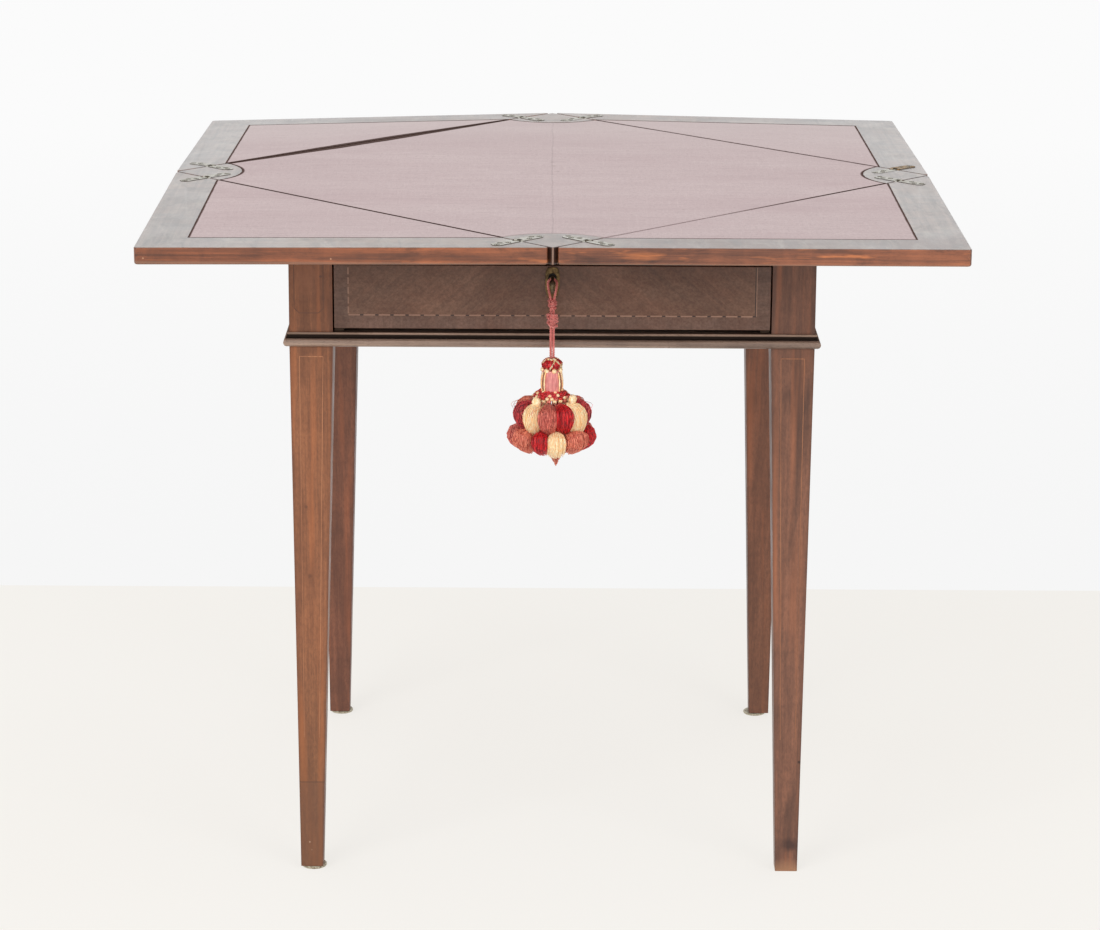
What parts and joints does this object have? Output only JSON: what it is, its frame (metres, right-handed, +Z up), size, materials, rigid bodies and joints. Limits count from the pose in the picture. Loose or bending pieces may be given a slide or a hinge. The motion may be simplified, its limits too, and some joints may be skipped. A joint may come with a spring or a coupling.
{
  "type": "envelope card table",
  "caption": "Square card table on tapered legs, its triangular flaps opened flat round a swivelling baize-lined board, with a frieze drawer, key and tassel.",
  "frame": {"origin": "centre of the footprint on the floor, under the pivot of the top", "axes": "+Z up, -Y towards the drawer front, +X to the right of someone facing the drawer"},
  "size_m": [0.8264, 0.8264, 0.7126],
  "materials": {
    "mahogany": "worn French polish",
    "mahogany_inside": "bare, sawn",
    "drawer_wood": "bare, planed",
    "hinge_brass": "dull, tarnished",
    "worn_steel": "worn, lightly rusted",
    "baize": "faded napped wool",
    "tassel_cord": "twisted silk and cotton"
  },
  "bodies": {
    "frame": {"leg_front_left": "mahogany", "leg_front_right": "mahogany", "leg_back_left": "mahogany", "leg_back_right": "mahogany", "glide_front_left": "worn_steel", "glide_back_left": "worn_steel", "glide_back_right": "worn_steel", "side_rail_left": "mahogany", "side_rail_right": "mahogany", "back_rail": "mahogany", "drawer_rail": "mahogany", "top_rail": "mahogany", "bead_moulding": "mahogany", "pivot_bearer": "mahogany_inside"},
    "drawer": {"drawer_front": "mahogany", "drawer_side_left": "drawer_wood", "drawer_side_right": "drawer_wood", "drawer_back": "drawer_wood", "drawer_bottom": "drawer_wood", "drawer_lock": "hinge_brass", "escutcheon": "hinge_brass"},
    "key": {"drawer_key": "worn_steel"},
    "tassel": {"tassel_cord": "tassel_cord", "tassel_head": "tassel_cord", "tassel_skirt": "tassel_cord"},
    "top": {"pivot_bolt": "worn_steel", "base_board": "mahogany", "base_baize": "baize", "board_leaf_front_left_a": "hinge_brass", "board_leaf_front_left_b": "hinge_brass", "board_leaf_front_right_a": "hinge_brass", "board_leaf_front_right_b": "hinge_brass", "board_leaf_back_right_a": "hinge_brass", "board_leaf_back_right_b": "hinge_brass", "board_leaf_back_left_a": "hinge_brass", "board_leaf_back_left_b": "hinge_brass"},
    "links_front_left": {"link_front_left_a": "hinge_brass", "link_front_left_b": "hinge_brass"},
    "flap_front_left": {"flap_front_left": "mahogany", "baize_front_left": "baize", "flap_leaf_front_left_a": "hinge_brass", "flap_leaf_front_left_b": "hinge_brass"},
    "links_front_right": {"link_front_right_a": "hinge_brass", "link_front_right_b": "hinge_brass"},
    "flap_front_right": {"flap_front_right": "mahogany", "baize_front_right": "baize", "flap_leaf_front_right_a": "hinge_brass", "flap_leaf_front_right_b": "hinge_brass"},
    "links_back_right": {"link_back_right_a": "hinge_brass", "link_back_right_b": "hinge_brass"},
    "flap_back_right": {"flap_back_right": "mahogany", "baize_back_right": "baize", "flap_leaf_back_right_a": "hinge_brass", "flap_leaf_back_right_b": "hinge_brass"},
    "links_back_left": {"link_back_left_a": "hinge_brass", "link_back_left_b": "hinge_brass"},
    "flap_back_left": {"flap_back_left": "mahogany", "baize_back_left": "baize", "flap_leaf_back_left_a": "hinge_brass", "flap_leaf_back_left_b": "hinge_brass"}
  },
  "joints": [
    {"name": "drawer_slide", "type": "slide", "parent": "frame", "child": "drawer", "axis": [0, -1, 0], "range_m": [0, 0.3]},
    {"name": "key_turn", "type": "hinge", "parent": "drawer", "child": "key", "pos_m": [0, -0.2715, 0.6512], "axis": [0, 1, 0], "range_deg": [0, 90]},
    {"name": "tassel_swing", "type": "hinge", "parent": "drawer", "child": "tassel", "pos_m": [0, -0.29, 0.6512], "axis": [0, 1, 0], "range_deg": [-30, 30]},
    {"name": "top_swivel", "type": "hinge", "parent": "frame", "child": "top", "pos_m": [0, 0, 0.691], "axis": [0, 0, 1], "range_deg": [0, 45]},
    {"name": "links_front_left_fold", "type": "hinge", "parent": "top", "child": "links_front_left", "pos_m": [-0.20474, -0.20474, 0.7103], "axis": [-0.7071, 0.7071, 0], "range_deg": [0, 90]},
    {"name": "flap_front_left_fold", "type": "hinge", "parent": "links_front_left", "child": "flap_front_left", "pos_m": [-0.20891, -0.20891, 0.7103], "axis": [-0.7071, 0.7071, 0], "range_deg": [0, 90.4]},
    {"name": "links_front_right_fold", "type": "hinge", "parent": "top", "child": "links_front_right", "pos_m": [0.20474, -0.20474, 0.7103], "axis": [-0.7071, -0.7071, 0], "range_deg": [0, 90]},
    {"name": "flap_front_right_fold", "type": "hinge", "parent": "links_front_right", "child": "flap_front_right", "pos_m": [0.20891, -0.20891, 0.7103], "axis": [-0.7071, -0.7071, 0], "range_deg": [0, 90]},
    {"name": "links_back_right_fold", "type": "hinge", "parent": "top", "child": "links_back_right", "pos_m": [0.20474, 0.20474, 0.7103], "axis": [0.7071, -0.7071, 0], "range_deg": [0, 90]},
    {"name": "flap_back_right_fold", "type": "hinge", "parent": "links_back_right", "child": "flap_back_right", "pos_m": [0.20891, 0.20891, 0.7103], "axis": [0.7071, -0.7071, 0], "range_deg": [0, 91.5]},
    {"name": "links_back_left_fold", "type": "hinge", "parent": "top", "child": "links_back_left", "pos_m": [-0.20474, 0.20474, 0.7103], "axis": [0.7071, 0.7071, 0], "range_deg": [0, 90]},
    {"name": "flap_back_left_fold", "type": "hinge", "parent": "links_back_left", "child": "flap_back_left", "pos_m": [-0.20891, 0.20891, 0.7103], "axis": [0.7071, 0.7071, 0], "range_deg": [0, 92.3]}
  ]
}
